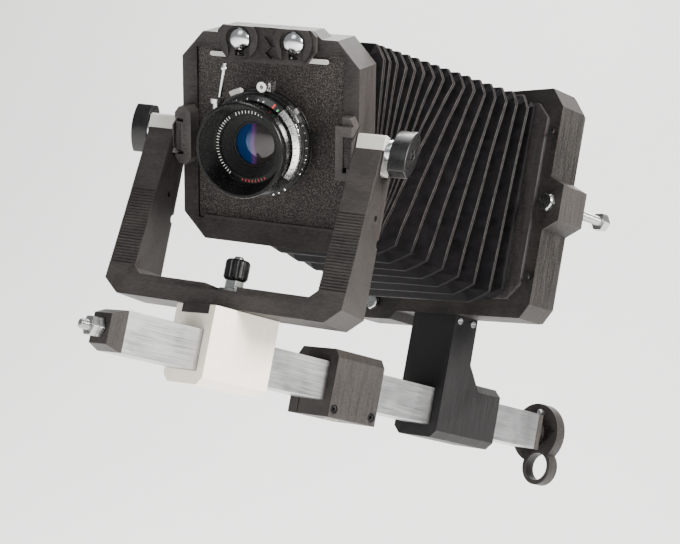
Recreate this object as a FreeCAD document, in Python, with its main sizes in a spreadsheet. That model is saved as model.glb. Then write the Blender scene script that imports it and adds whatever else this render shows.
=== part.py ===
"""View camera on a square rail: tripod block, rail, front standard with lens, bellows, rear standard."""
import FreeCAD, Part
import math
import os
import re
import Sketcher
from FreeCAD import Placement, Rotation, Vector

doc = FreeCAD.newDocument("view_camera")
sheet = doc.addObject("Spreadsheet::Sheet", "Dimensions")

# Driving dimensions, in millimetres and degrees.
DIMENSIONS = (
    ("rail_side", 25.4),
    ("rail_wall", 1.6),
    ("rail_front", -158.8),
    ("rail_rear", 205.6),
    ("axis_height", 22.9),
    ("block_length", 41.0),
    ("block_half", 20.3),
    ("running_gap", 0.05),
    ("stud_radius", 3.175),
    ("nut_flats", 11.1),
    ("screw_radius", 4.0),
    ("swing_offset", -78.0),
    ("swing_angle", 26.9),
    ("tilt_angle", 25.3),
    ("pivot_depth", 9.5),
    ("pivot_height", 140.5),
    ("carriage_half", 20.0),
    ("carriage_front", -103.5),
    ("carriage_rear", -53.0),
    ("arm_outer", 81.0),
    ("arm_inner", 63.0),
    ("arm_top", 139.7),
    ("bar_bottom", 28.3),
    ("bar_top", 42.4),
    ("yoke_rear", 21.5),
    ("yoke_front", -17.5),
    ("rise_slot", 12.0),
    ("frame_half", 61.5),
    ("frame_front", 0.3),
    ("frame_rear", 27.0),
    ("frame_low", -69.0),
    ("frame_high", 66.5),
    ("board_half", 51.0),
    ("board_low", -55.0),
    ("board_high", 56.5),
    ("lens_height", 1.5),
    ("shutter_radius", 34.2),
    ("shutter_face", -19.0),
    ("rim_radius", 30.0),
    ("rim_face", -42.5),
    ("ring_radius", 31.8),
    ("neck_radius", 20.7),
    ("glass_radius", 14.0),
    ("back_half", 85.3),
    ("back_front", 96.8),
    ("back_rear", 118.4),
    ("back_low", 64.0),
    ("back_high", 220.7),
    ("ear_reach", 97.7),
    ("stud_spread", 87.4),
    ("stud_level", 141.7),
    ("base_half", 20.7),
    ("base_rear", 153.5),
)

for row, (alias, value) in enumerate(DIMENSIONS, 1):
    cell = "A%d" % row
    sheet.set(cell, str(value))
    sheet.setAlias(cell, alias)
doc.recompute()

ALIASES = re.compile(r"\b(" + "|".join(alias for alias, value in DIMENSIONS) + r")\b")
WORKING_CELL = "C1"
TURNS = {
    "x": Rotation(Vector(0, 1, 0), 90),
    "y": Rotation(Vector(1, 0, 0), -90),
    "z": Rotation(),
}
PLANES = {"x": "YZ_Plane", "y": "XZ_Plane", "z": "XY_Plane"}
LEFT, RIGHT = -1, 1
WASHER_REACH = {LEFT: 2.3, RIGHT: 4.8}
KNOB_LEAN = {LEFT: 11, RIGHT: -23.7}
nodes = []


def link(text):
    """Point every dimension named in an expression at the sheet."""
    return ALIASES.sub(r"Dimensions.\1", str(text))


def measure(text):
    """Work out an expression of the sheet's dimensions."""
    sheet.set(WORKING_CELL, "=" + str(text))
    sheet.recompute()
    return float(sheet.get(WORKING_CELL))


def box(x, y, z):
    """Block between pairs of limits."""
    block = doc.addObject("Part::Box", "Block")
    for size, letter, (low, high) in zip(("Length", "Width", "Height"), "xyz", (x, y, z)):
        block.setExpression(size, link("(%s) - (%s)" % (high, low)))
        block.setExpression("Placement.Base." + letter, link(low))
    return block


def stand(part, axis, centre, span):
    """Stand a round or prismatic part along an axis from the start of its span."""
    part.Placement = Placement(Vector(), TURNS[axis])
    part.setExpression("Height", link("(%s) - (%s)" % (span[1], span[0])))
    part.setExpression("Placement.Base." + axis, link(span[0]))
    for letter, value in zip("xyz".replace(axis, ""), centre):
        part.setExpression("Placement.Base." + letter, link(value))
    return part


def rod(axis, centre, span, radius):
    """Round bar."""
    part = doc.addObject("Part::Cylinder", "Rod")
    part.setExpression("Radius", link(radius))
    return stand(part, axis, centre, span)


def cone(axis, centre, span, radius, end_radius):
    """Tapered round bar."""
    part = doc.addObject("Part::Cone", "Taper")
    part.setExpression("Radius1", link(radius))
    part.setExpression("Radius2", link(end_radius))
    return stand(part, axis, centre, span)


def hexagon(axis, centre, span, flats):
    """Hexagonal bar of a given size across its flats."""
    part = doc.addObject("Part::Prism", "Hexagon")
    part.Polygon = 6
    part.setExpression("Circumradius", link("(%s) / sqrt(3)" % flats))
    return stand(part, axis, centre, span)


def ball(centre, radius):
    """Sphere."""
    part = doc.addObject("Part::Sphere", "Ball")
    part.setExpression("Radius", link(radius))
    for letter, value in zip("xyz", centre):
        part.setExpression("Placement.Base." + letter, link(value))
    return part


def join(*parts):
    """One solid from touching parts."""
    whole = doc.addObject("Part::MultiFuse", "Join")
    whole.Shapes = list(parts)
    whole.Refine = True
    return whole


def shared(*parts):
    """The space that all the parts have in common."""
    whole = doc.addObject("Part::MultiCommon", "Shared")
    whole.Shapes = list(parts)
    return whole


def group(*parts):
    """Separate solids kept as one node."""
    whole = doc.addObject("Part::Compound", "Group")
    whole.Links = list(parts)
    return whole


def cut(base, *tools):
    """Take tools away from a part."""
    for tool in tools:
        whole = doc.addObject("Part::Cut", "Cut")
        whole.Base = base
        whole.Tool = tool
        base = whole
    return base


def tube(axis, centre, span, radius, bore):
    """Round bar with a bore through it."""
    return cut(rod(axis, centre, span, radius), rod(axis, centre, span, bore))


def plate(axis, span, *outlines):
    """Pad of an outline, less the outlines inside it, as a body with a fully dimensioned sketch."""
    body = doc.addObject("PartDesign::Body", "Plate")
    sketch = body.newObject("Sketcher::SketchObject", "Outline")
    origin_plane = [item for item in body.Origin.OriginFeatures if item.Role == PLANES[axis]][0]
    sketch.AttachmentSupport = [(origin_plane, "")]
    sketch.MapMode = "FlatFace"
    side = "-" if axis == "y" else ""
    sketch.setExpression("AttachmentOffset.Base.z", link("%s(%s)" % (side, span[0])))
    for outline in outlines:
        first = sketch.GeometryCount
        points = [Vector(measure(across), measure(up), 0) for across, up in outline]
        count = len(points)
        for index, point in enumerate(points):
            sketch.addGeometry(Part.LineSegment(point, points[(index + 1) % count]))
        for index in range(count):
            following = first + (index + 1) % count
            sketch.addConstraint(Sketcher.Constraint("Coincident", first + index, 2, following, 1))
        for index, (point, texts) in enumerate(zip(points, outline)):
            for kind, value, text in zip(("DistanceX", "DistanceY"), point, texts):
                rule = Sketcher.Constraint(kind, -1, 1, first + index, 1, value)
                number = sketch.addConstraint(rule)
                sketch.setExpression("Constraints[%d]" % number, link(text))
    pad = body.newObject("PartDesign::Pad", "Thickness")
    pad.Profile = sketch
    pad.setExpression("Length", link("(%s) - (%s)" % (span[1], span[0])))
    pad.Reversed = axis == "y"
    return body


def rectangle(across, up):
    """Outline of a rectangle between pairs of limits."""
    return [(across[0], up[0]), (across[1], up[0]), (across[1], up[1]), (across[0], up[1])]


def bevelled(across, up, bevel_across, bevel_up):
    """Outline of a rectangle with its four corners cut off."""
    left, right = across
    low, high = up
    return [
        ("%s + %s" % (left, bevel_across), low),
        ("%s - %s" % (right, bevel_across), low),
        (right, "%s + %s" % (low, bevel_up)),
        (right, "%s - %s" % (high, bevel_up)),
        ("%s - %s" % (right, bevel_across), high),
        ("%s + %s" % (left, bevel_across), high),
        (left, "%s - %s" % (high, bevel_up)),
        (left, "%s + %s" % (low, bevel_up)),
    ]


def both_sides(value):
    """Symmetric pair of limits."""
    return ("-(%s)" % value, value)


def beside(side, near, far):
    """Limits of something on the left or the right, low limit first."""
    if side == RIGHT:
        return (near, far)
    return ("-(%s)" % far, "-(%s)" % near)


def node(name, part, frame):
    """Name a finished piece and set it in its place."""
    part.Label = name
    part.Placement = frame
    nodes.append(part)
    return part


# Frames: rail (axis of the rail, front face of the tripod block), front (swing stud), lens (tilt pivots).
block_middle = -measure("block_length") / 2
rail_frame = Placement(Vector(0, block_middle, measure("axis_height")), Rotation())
swing = Placement(Vector(0, measure("swing_offset"), 0), Rotation(Vector(0, 0, 1), measure("swing_angle")))
front_frame = rail_frame.multiply(swing)
tilt_centre = Vector(0, measure("pivot_depth"), measure("pivot_height"))
tilt = Placement(tilt_centre, Rotation(Vector(1, 0, 0), measure("tilt_angle")))
lens_frame = front_frame.multiply(tilt)

half_bore = "rail_side / 2 + running_gap"
rail_bore = (both_sides(half_bore), both_sides(half_bore))

# ---- tripod block ----
block_shell = plate(
    "y", (0, "block_length"),
    [
        ("-block_half", "-axis_height"), ("block_half", "-axis_height"), ("block_half", 15.8),
        ("block_half - 4", 21.2), ("-block_half + 4", 21.2), ("-block_half", 15.8),
    ],
    rectangle(*rail_bore),
)
insert_seat = rod("z", (0, "block_length / 2"), ("-axis_height", -13.85), 4.8)
clamp_slit = box((-11.5, -10.5), (0, "block_length"), ("-axis_height", "-rail_side / 2"))
screw_seats = []
block_screws = []
for along in (3.9, "block_length - 4.3"):
    screw_seats.append(rod("x", (along, -17.3), ("block_half - 3.6", "block_half"), 3.0))
    screw_seats.append(rod("x", (along, -17.3), (-17, "block_half - 3.6"), 2.05))
    screw_head = rod("x", (along, -17.3), ("block_half - 3.55", "block_half - 0.7"), 2.85)
    screw_shank = rod("x", (along, -17.3), (-16.5, "block_half - 3.55"), 2.0)
    screw_socket = hexagon("x", (along, -17.3), ("block_half - 2.2", "block_half"), 2.5)
    block_screws.append(cut(join(screw_head, screw_shank), screw_socket))
node("tripod_block", cut(block_shell, insert_seat, clamp_slit, *screw_seats), rail_frame)
insert_shell = rod("z", (0, "block_length / 2"), ("-axis_height", -13.9), 4.75)
insert_bore = rod("z", (0, "block_length / 2"), ("-axis_height", -13.9), "stud_radius")
node("tripod_insert", cut(insert_shell, insert_bore), rail_frame)
node("block_screws", group(*block_screws), rail_frame)

# ---- rail ----
half_inside = "rail_side / 2 - rail_wall"
rail_tube = plate(
    "y", ("rail_front", "rail_rear"),
    rectangle(both_sides("rail_side / 2"), both_sides("rail_side / 2")),
    rectangle(both_sides(half_inside), both_sides(half_inside)),
)
follower_slot = box(both_sides(4.4), ("swing_offset - 34", "swing_offset + 34"), (10, 14))
node("rail", cut(rail_tube, follower_slot), rail_frame)
cap_taper = doc.addObject("Part::Wedge", "CapTaper")
for name, text in (
    ("Xmin", "-9.2"), ("Xmax", "9.2"), ("Zmin", "-9.2"), ("Zmax", "9.2"),
    ("X2min", "-rail_side / 2"), ("X2max", "rail_side / 2"),
    ("Z2min", "-rail_side / 2"), ("Z2max", "rail_side / 2"),
    ("Ymin", "rail_front - 9.2"), ("Ymax", "rail_front"),
):
    cap_taper.setExpression(name, link(text))
half_plug = "rail_side / 2 - rail_wall - running_gap"
cap_plug = box(both_sides(half_plug), ("rail_front", "rail_front + 12"), both_sides(half_plug))
cap_bore = rod("y", (0, 0), ("rail_front - 10", "rail_front + 13"), "stud_radius + running_gap")
node("front_end_cap", cut(join(cap_taper, cap_plug), cap_bore), rail_frame)
rear_plug = box(both_sides(half_plug), ("rail_rear - 12", "rail_rear"), both_sides(half_plug))
rail_width = both_sides("rail_side / 2")
rear_collar = box(rail_width, ("rail_rear", "rail_rear + 4.4"), rail_width)
rear_bore = rod("y", (0, 0), ("rail_rear - 13", "rail_rear + 5"), "screw_radius + running_gap")
node("rear_end_plug", cut(join(rear_plug, rear_collar), rear_bore), rail_frame)

# ---- focus drive ----
screw_rod = rod("y", (0, 0), ("rail_front + 12.2", "rail_rear + 18"), "screw_radius")
screw_tip = rod("y", (0, 0), ("rail_front - 23.2", "rail_front + 12.2"), "stud_radius")
node("lead_screw", join(screw_rod, screw_tip), rail_frame)
front_nuts = []
for start, end in (("rail_front - 13.4", "rail_front - 9.4"), ("rail_front - 17.7", "rail_front - 13.6")):
    nut = hexagon("y", (0, 0), (start, end), "nut_flats")
    front_nuts.append(cut(nut, rod("y", (0, 0), (start, end), "stud_radius + running_gap")))
node("lead_screw_nuts", group(*front_nuts), rail_frame)
disc_span = ("rail_rear + 12", "rail_rear + 20.5")
disc = rod("y", (0, 0), disc_span, 21.5)
loop = rod("y", (6.4, -24.2), disc_span, 13.2)
loop_hole = rod("y", (6.4, -24.2), disc_span, 9.8)
disc_hub = rod("y", (0, 0), ("rail_rear + 4.8", "rail_rear + 12.1"), 9)
disc_seat = rod("y", (0, 0), ("rail_rear + 4.8", "rail_rear + 18.05"), "screw_radius + running_gap")
pin_hole = rod("y", (4.2, 15), disc_span, 2.3)
node("crank_disc", cut(join(disc, loop, disc_hub), loop_hole, disc_seat, pin_hole), rail_frame)
node("crank_pin", join(
    rod("y", (4.2, 15), ("rail_rear + 8.5", "rail_rear + 20"), 2.25),
    rod("y", (4.2, 15), ("rail_rear + 7.9", "rail_rear + 8.6"), 1.7),
), rail_frame)

# ---- front carriage ----
carriage_shell = plate(
    "y", ("carriage_front", "carriage_rear"),
    [
        ("-carriage_half + 5", -21), ("carriage_half - 5", -21), ("carriage_half", -16.2),
        ("carriage_half", 28), (14, 28), (14, 22.5), (-14, 22.5), (-14, 28),
        ("-carriage_half", 28), ("-carriage_half", -16.2),
    ],
    rectangle(*rail_bore),
)
neck_seat = box(both_sides(4.05), ("swing_offset - 8.05", "swing_offset + 8.05"), (12, 16.05))
stud_seat = rod("z", (0, "swing_offset"), (17, 23), "stud_radius + 0.025")
node("front_carriage", cut(carriage_shell, neck_seat, stud_seat), rail_frame)
nut_block = box(both_sides(9), ("swing_offset - 10", "swing_offset + 10"), both_sides(9))
nut_neck = box(both_sides(4), ("swing_offset - 8", "swing_offset + 8"), (9, 16))
nut_thread = rod("y", (0, 0), ("swing_offset - 10", "swing_offset + 10"), "screw_radius + running_gap")
node("follower_nut", cut(join(nut_block, nut_neck), nut_thread), rail_frame)
foot_block = box(both_sides(13.95), ("carriage_front", "carriage_rear - 4"), (22.55, 28.2))
foot_bore = rod("z", (0, "swing_offset"), (22, 29), "stud_radius + 0.025")
node("swing_foot", cut(foot_block, foot_bore), rail_frame)
node("swing_stud", join(
    rod("z", (0, "swing_offset"), (17.05, 62), "stud_radius"),
    cone("z", (0, "swing_offset"), (62, 63), "stud_radius", "stud_radius - 0.8"),
), rail_frame)

# ---- yoke, drawn about the swing stud ----
yoke_side = plate(
    "x", both_sides("arm_outer"),
    [
        ("yoke_front", "bar_bottom"), ("yoke_rear", "bar_bottom"), ("yoke_rear", "arm_top"),
        (-0.5, "arm_top"), ("yoke_front", 37),
    ],
)
yoke_face = plate(
    "y", ("yoke_front - 1", "yoke_rear + 1"),
    [
        ("-arm_outer + 10", "bar_bottom"), ("arm_outer - 10", "bar_bottom"), ("arm_outer", 37),
        ("arm_outer", "arm_top"), ("arm_inner", "arm_top"), ("arm_inner", "bar_top + 4.6"),
        ("arm_inner - 4.7", "bar_top"), ("-arm_inner + 4.7", "bar_top"), ("-arm_inner", "bar_top + 4.6"),
        ("-arm_inner", "arm_top"), ("-arm_outer", "arm_top"), ("-arm_outer", 37),
    ],
)
washer_recess = box((-11.5, 10.4), ("yoke_front", 10.5), ("bar_top - 3", "bar_top"))
stud_bore = rod("z", (0, 0), ("bar_bottom", "bar_top"), "stud_radius + 0.08")
arm_holes = rod("x", (10, 99), both_sides("arm_outer"), 2.0)
edge_notches = rod("x", ("yoke_rear", 85), both_sides("arm_outer"), 2.75)
slot_depth = ("pivot_depth - rise_slot / 2", "pivot_depth + rise_slot / 2")
rise_slots = box(both_sides("arm_outer"), slot_depth, (124.5, "arm_top"))
groove_count = 26
groove_pitch = 1.95
grooves = []
for index in range(groove_count):
    level = 48.5 + index * groove_pitch
    depth = "yoke_front + (%s - 37) / (arm_top - 37) * (-0.5 - yoke_front)" % level
    grooves.append(rod("x", (depth, level), both_sides("arm_outer"), 0.5))
yoke_cuts = (washer_recess, stud_bore, arm_holes, edge_notches, rise_slots, group(*grooves))
node("front_yoke", cut(shared(yoke_side, yoke_face), *yoke_cuts), front_frame)
washer_span = ("bar_top - 2.95", "bar_top - 0.4")
node("swing_washer", tube("z", (0, 0), washer_span, 9.0, "stud_radius + 0.08"), front_frame)
knob_thread = rod("z", (0, 0), (42, 62), "stud_radius + 0.06")
swing_nut = hexagon("z", (0, 0), ("bar_top", 47.6), "nut_flats")
node("swing_nut", cut(swing_nut, knob_thread), front_frame)
knob_skirt = cone("z", (0, 0), (47.8, 49.5), 6.4, 7.75)
knob_grip = rod("z", (0, 0), (49.5, 59.6), 7.75)
knob_crown = cone("z", (0, 0), (59.6, 61), 7.75, 6.4)
flutes = []
flute_count = 12
for index in range(flute_count):
    angle = 2 * math.pi * index / flute_count
    across = 8.3 * math.cos(angle)
    along = 8.3 * math.sin(angle)
    flutes.append(rod("z", (across, along), (47, 62), 1.2))
knob_bore = rod("z", (0, 0), (42, 62), "stud_radius + 0.06")
swing_knob = cut(join(knob_skirt, knob_grip, knob_crown), group(*flutes), knob_bore)
node("swing_knob", swing_knob, front_frame)

# ---- risers, pivots and tilt knobs, drawn about the swing stud ----
pivot = ("pivot_depth", "pivot_height")
pivot_bolts = []
pivot_washers = []
for side, word in ((LEFT, "left"), (RIGHT, "right")):
    block_span = beside(side, "arm_inner + 0.5", "arm_outer + 1")
    crown = plate(
        "x", block_span,
        [
            (-0.5, "arm_top + 0.05"), ("yoke_rear", "arm_top + 0.05"), ("yoke_rear", 148),
            ("yoke_rear - 1.5", 149.5), (1, 149.5), (-0.5, 148),
        ],
    )
    tongue_depth = (
        "pivot_depth - rise_slot / 2 + running_gap",
        "pivot_depth + rise_slot / 2 - running_gap",
    )
    tongue = box(block_span, tongue_depth, (126, "arm_top + 1"))
    pivot_bore = rod("x", pivot, block_span, "stud_radius + 0.025")
    node("riser_block_" + word, cut(join(crown, tongue), pivot_bore), front_frame)
    washer_end = "arm_outer + %s" % WASHER_REACH[side]
    knob_end = "%s + 11.8" % washer_end
    pivot_bolts.append(rod("x", pivot, beside(side, 54.5, "%s - 1.6" % knob_end), "stud_radius"))
    washer_span = beside(side, "arm_outer + 1.05", washer_end)
    pivot_washers.append(tube("x", pivot, washer_span, 9.0, "stud_radius + 0.025"))
    knob_span = beside(side, "%s + 0.2" % washer_end, knob_end)
    lean = math.radians(KNOB_LEAN[side])
    knob_faces = []
    for radius, offset, turn in ((24.6, 15.4, 0), (24.6, -15.4, 0), (60, 44.3, 90), (60, -44.3, 90)):
        direction = lean + math.radians(turn)
        across = "pivot_depth + %.4f" % (offset * math.cos(direction))
        upward = "pivot_height + %.4f" % (offset * math.sin(direction))
        knob_faces.append(rod("x", (across, upward), knob_span, radius))
    knob_bore = rod("x", pivot, knob_span, "stud_radius + 0.06")
    node("tilt_knob_" + word, cut(shared(*knob_faces), knob_bore), front_frame)
node("pivot_bolts", group(*pivot_bolts), front_frame)
node("pivot_washers", group(*pivot_washers), front_frame)

# ---- lens frame, drawn about the tilt pivots ----
frame_shell = plate(
    "y", ("frame_front", "frame_rear"),
    bevelled(both_sides("frame_half"), ("frame_low", "frame_high"), 15, 16.5),
    rectangle(both_sides("board_half - 3"), ("board_low + 3", "board_high - 3")),
)
board_seat = box(
    both_sides("board_half + 0.1"), ("frame_front", 7), ("board_low - 0.1", "board_high + 0.1"),
)
pivot_seats = rod("x", (0, 0), both_sides("frame_half"), "stud_radius + 0.06")
middle = box(both_sides(54), (-6, 6), (-6, 6))
latch_seats = [rod("y", (18.5 * side, 63.7), ("frame_front", 9), 2.05) for side in (LEFT, RIGHT)]
latch_rest = plate("y", ("frame_front", 16), [
    (-36, "frame_high - 1"), (36, "frame_high - 1"), (36, "frame_high"), (30.5, 71.4),
    (-30.5, 71.4), (-36, "frame_high"),
])
frame_solid = cut(join(frame_shell, latch_rest), board_seat, *latch_seats)
pivot_tools = cut(pivot_seats, middle)
lip = box(both_sides("board_half - 4"), ("frame_front", 1.7), ("board_low - 0.5", "board_low + 2"))
node("lens_frame", cut(join(frame_solid, lip), pivot_tools), lens_frame)

plate_depth = (-11, "frame_front - 0.05")
left_plate = plate("y", plate_depth, bevelled(("-frame_half", -50), (-18, 19), 3, 4))
left_panel = box((-63, -57), (-11, -9.6), (-9.5, 9))
left_slots = [box((-63, -55.5), (-11, -6), limits) for limits in ((9, 11.5), (-12, -9.5))]
left_hole = rod("x", (0, 0), (-63, -49), "stud_radius + 0.06")
node("pivot_plate_left", cut(left_plate, left_panel, left_hole, *left_slots), lens_frame)
right_plate = plate(
    "y", plate_depth,
    [
        (50.5, -18), (58, -18), ("frame_half", -14), ("frame_half", 16), (59, 21),
        (53.5, 21), (53.5, 16), (50.5, 16),
    ],
)
right_panel = box((55.7, 63), (-11, -9.6), (-10, 9.6))
right_hole = box((55.5, 58.2), (-11, -4), (-13, -10))
right_bore = rod("x", (0, 0), (49, 63), "stud_radius + 0.06")
right_step = box((53, 63), (-11, -7.5), (16, 22))
node("pivot_plate_right", cut(right_plate, right_panel, right_hole, right_step, right_bore), lens_frame)
hubs = []
for side in (LEFT, RIGHT):
    hub_span = beside(side, "frame_half + 0.02", "arm_inner - 0.35")
    hubs.append(cut(hexagon("x", (0, 0), hub_span, 25), rod("x", (0, 0), hub_span, "stud_radius + 0.06")))
node("pivot_hubs", group(*hubs), lens_frame)

lens_axis = (0, "lens_height")
board_sheet = box(both_sides("board_half"), (2, 6.95), ("board_low", "board_high"))
board_hole = rod("y", lens_axis, (1, 8), "neck_radius + running_gap")
node("lens_board", cut(board_sheet, board_hole), lens_frame)

# ---- latch that holds the board ----
latch_outline = [
    (-26.6, 50), (26.6, 50), (33.8, 59), (33.8, 68.6), (30.3, 72.3), (-30.3, 72.3), (-33.8, 68.6), (-33.8, 59),
]
latch_sheet = plate("y", (-4, -1.05), latch_outline)
latch_slots = [
    box((18.5 * side - 3.2, 18.5 * side + 3.2), (-6, 0), (53.4, 66.5)) for side in (LEFT, RIGHT)
]
lobes = group(*[tube("y", (18.5 * side, 63.7), (-5.2, -3.95), 13, 8.75) for side in (LEFT, RIGHT)])
lobes = shared(lobes, plate("y", (-6, -3.9), latch_outline))
dome_lanes = [
    box((18.5 * side - 7.45, 18.5 * side + 7.45), (-6, -4.0), (49, 63.7)) for side in (LEFT, RIGHT)
]
square_hole = plate("y", (-6, -2), [(-0.8, 56.4), (3.4, 52.6), (7.5, 56.4), (3.4, 60.2)])
wedge_pocket = plate("y", (-6, -3), [(-1.5, 66.8), (3.2, 60.6), (6.6, 60.6), (5.4, 63.7), (4.6, 65.6)])
latch_solid = cut(join(latch_sheet, lobes), square_hole, wedge_pocket, *latch_slots, *dome_lanes)
node("board_latch", latch_solid, lens_frame)
strip = join(
    box((-39.5, 39.5), (-1, 0), (51.5, 54.5)),
    rod("y", (-39.5, 53), (-1, 0), 1.5),
    rod("y", (39.5, 53), (-1, 0), 1.5),
)
strip_notches = [
    box((18.5 * side - 2.3, 18.5 * side + 2.3), (-2, 1), (53.4, 55)) for side in (LEFT, RIGHT)
]
node("latch_strip", cut(strip, *strip_notches), lens_frame)
latch_bolts = []
for side in (LEFT, RIGHT):
    place = 18.5 * side
    dome_room = box((place - 9, place + 9), (-9, -4.3), (54, 73))
    dome = shared(ball((place, 0.49, 63.7), 8.69), dome_room)
    latch_bolts.append(join(dome, rod("y", (place, 63.7), (-5.4, 8.9), 2.0)))
node("latch_bolts", group(*latch_bolts), lens_frame)

# ---- shutter and lens, about the lens axis ----
shutter_shell = join(
    rod("y", lens_axis, ("shutter_face", -9), "shutter_radius"),
    cone("y", lens_axis, (-9, -7), "shutter_radius - 1.2", 28.5),
    rod("y", lens_axis, (-7.1, 1.95), 28.5),
    rod("y", lens_axis, (1.9, 10), "neck_radius"),
)
light_path = rod("y", lens_axis, ("shutter_face", 10), 17)
front_socket = rod("y", lens_axis, ("shutter_face", "shutter_face + 5"), 20.95)
iris_room = rod("y", lens_axis, (-6, -2), 27)
lever_groove = tube("y", lens_axis, ("shutter_face", "shutter_face + 3"), 35.5, 33.0)
pointer_groove = tube("y", lens_axis, (-12.6, -9.4), "shutter_radius + 1", 32.9)
shutter_holes = (light_path, front_socket, iris_room, lever_groove, pointer_groove)
node("shutter_body", cut(shutter_shell, *shutter_holes), lens_frame)
barrel_shell = join(
    rod("y", lens_axis, ("rim_face", "rim_face + 6.5"), "rim_radius"),
    cone("y", lens_axis, ("rim_face + 6.5", "rim_face + 8"), "rim_radius", 28),
    rod("y", lens_axis, ("rim_face + 6.5", "rim_face + 14.5"), 28),
    cone("y", lens_axis, ("rim_face + 14.5", "rim_face + 16"), 28, 24.5),
    rod("y", lens_axis, ("rim_face + 14", "shutter_face - 5.4"), 24.5),
    rod("y", lens_axis, ("shutter_face - 5.5", "shutter_face + 4.9"), 20.9),
)
hood = join(
    cone("y", lens_axis, ("rim_face", "rim_face + 13.9"), 27.5, 23.4),
    cone("y", lens_axis, ("rim_face + 13.8", "rim_face + 21.5"), 19.6, 14.8),
)
glass_seat = rod("y", lens_axis, ("rim_face + 21.4", "rim_face + 26.5"), "glass_radius + 0.1")
barrel_path = rod("y", lens_axis, ("rim_face", "shutter_face + 5"), 12)
node("front_barrel", cut(barrel_shell, hood, glass_seat, barrel_path), lens_frame)
front_lens = shared(
    rod("y", lens_axis, ("rim_face + 20", "rim_face + 26.4"), "glass_radius"),
    ball((0, "rim_face + 20.6 + 30", "lens_height"), 30),
)
node("front_glass", front_lens, lens_frame)
node("rear_barrel", cut(
    join(rod("y", lens_axis, (10.1, 34), 20), rod("y", lens_axis, (3, 10.2), 16.9)),
    rod("y", lens_axis, (3, 26), 14),
    rod("y", lens_axis, (26, 34), 16.05),
), lens_frame)
node("rear_glass", shared(
    rod("y", lens_axis, (26.05, 33), 16),
    ball((0, "32.5 - 30", "lens_height"), 30),
), lens_frame)
node("retaining_ring", tube("y", lens_axis, (7, 9.9), 26, "neck_radius + running_gap"), lens_frame)
leaves = []
leaf_count = 5
for index in range(leaf_count):
    depth = -5.6 + index * 0.65
    leaf_span = (depth, depth + 0.3)
    ring = tube("y", lens_axis, leaf_span, 26.4, 8.5)
    turn = 2 * math.pi * index / leaf_count
    shadow_height = "lens_height + %.4f" % (20 * math.sin(turn))
    shadow = rod("y", (20 * math.cos(turn), shadow_height), leaf_span, 20)
    leaves.append(shared(ring, shadow))
node("iris_leaves", group(*leaves), lens_frame)
ring_shell = tube("y", lens_axis, ("shutter_face - 5", "shutter_face - 0.3"), "ring_radius", 21.0)
node("speed_ring", ring_shell, lens_frame)


def arc(span, inner, outer, middle_angle, spread):
    """Part of a ring about the lens axis, between two radii and over an angle."""
    wedge = rod("y", lens_axis, span, outer)
    wedge.setExpression("Angle", str(spread))
    start = math.radians(-(middle_angle + spread / 2.0))
    turn = Rotation(Vector(0, 1, 0), math.degrees(start)).multiply(TURNS["y"])
    wedge.Placement = Placement(wedge.Placement.Base, turn.multiply(Rotation(Vector(0, 0, 1), 0)))
    return cut(wedge, rod("y", lens_axis, span, inner))


node("cocking_lever", join(
    arc(("shutter_face - 2.8", "shutter_face + 2.7"), 33.3, 35.2, 38.5, 20),
    arc(("shutter_face - 2.8", "shutter_face - 0.4"), 33.3, 38.6, 39, 5),
), lens_frame)
node("preview_lever", join(
    arc(("shutter_face - 1.0", "shutter_face + 2.7"), 33.3, 35.2, 112.0, 11),
    arc(("shutter_face - 2.6", "shutter_face - 0.4"), 33.0, 36.2, 112.0, 13),
), lens_frame)
pointer_span = (-12.3, -9.7)
pointer = plate("y", pointer_span, [
    (30, 12.3), (31.6, 12.3), (36.2, 9.9), (42.0, 8.2), (37.6, 4.3), (33.4, -1.4), (30, -1.4),
])
pointer_room = rod("y", lens_axis, (-13, -9), 33.2)
node("aperture_lever", cut(join(pointer, arc(pointer_span, 33.1, 35.6, 7.5, 36)), pointer_room), lens_frame)
socket_base = (-26.6, 27.8)
release_direction = Vector(3.1, 0, 18.2).normalize()


def along_release(radius, start, end):
    """Round bar on the release axis, between two distances from the socket."""
    part = doc.addObject("Part::Cylinder", "ReleaseRod")
    part.Radius = radius
    part.Height = end - start
    foot = Vector(socket_base[0], -15.5, socket_base[1]) + release_direction * start
    part.Placement = Placement(foot, Rotation(Vector(0, 0, 1), release_direction))
    return part


socket = cut(
    join(rod("z", (-28.3, -15.5), (24.6, 27.6), 4.4), rod("z", (-28.3, -15.5), (19.5, 24.7), 3.0)),
    along_release(1.3, -4, 5.5),
    rod("y", lens_axis, (-22, -8), "shutter_radius + 0.05"),
)
node("release_socket", socket, lens_frame)
node("release_rod", join(
    along_release(1.2, 0.5, 18.4), along_release(2.2, 18.4, 20.2), along_release(1.5, 20.2, 22.6),
), lens_frame)
terminal_block = cut(
    box((3.8, 9.2), (-17, -9), (33, 40.3)), rod("y", lens_axis, (-22, -6), "shutter_radius + 0.05"),
)
terminal_post = join(rod("y", (6.5, 38.5), (-22, -16), 2.2), rod("y", (6.5, 38.5), (-24, -22), 3.3))
node("flash_terminal", join(
    cut(terminal_post, rod("y", (6.5, 38.5), (-25, -20), 1.2)),
    terminal_block,
), lens_frame)
# ---- bellows and its flanges ----
front_flange_span = ("frame_rear + 0.02", "frame_rear + 2.2")
node("bellows_front_flange", plate(
    "y", front_flange_span,
    bevelled(both_sides("board_half + 2"), ("board_low - 2", "board_high + 1"), 8, 8),
    rectangle(both_sides("board_half - 4"), ("board_low + 4", "board_high - 4")),
), lens_frame)
node("bellows_rear_flange", plate(
    "y", ("back_front - 2.8", "back_front - 0.02"),
    bevelled(both_sides(76), (76, 210), 10, 10),
    rectangle(both_sides(58), (84, 202)),
), rail_frame)


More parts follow.
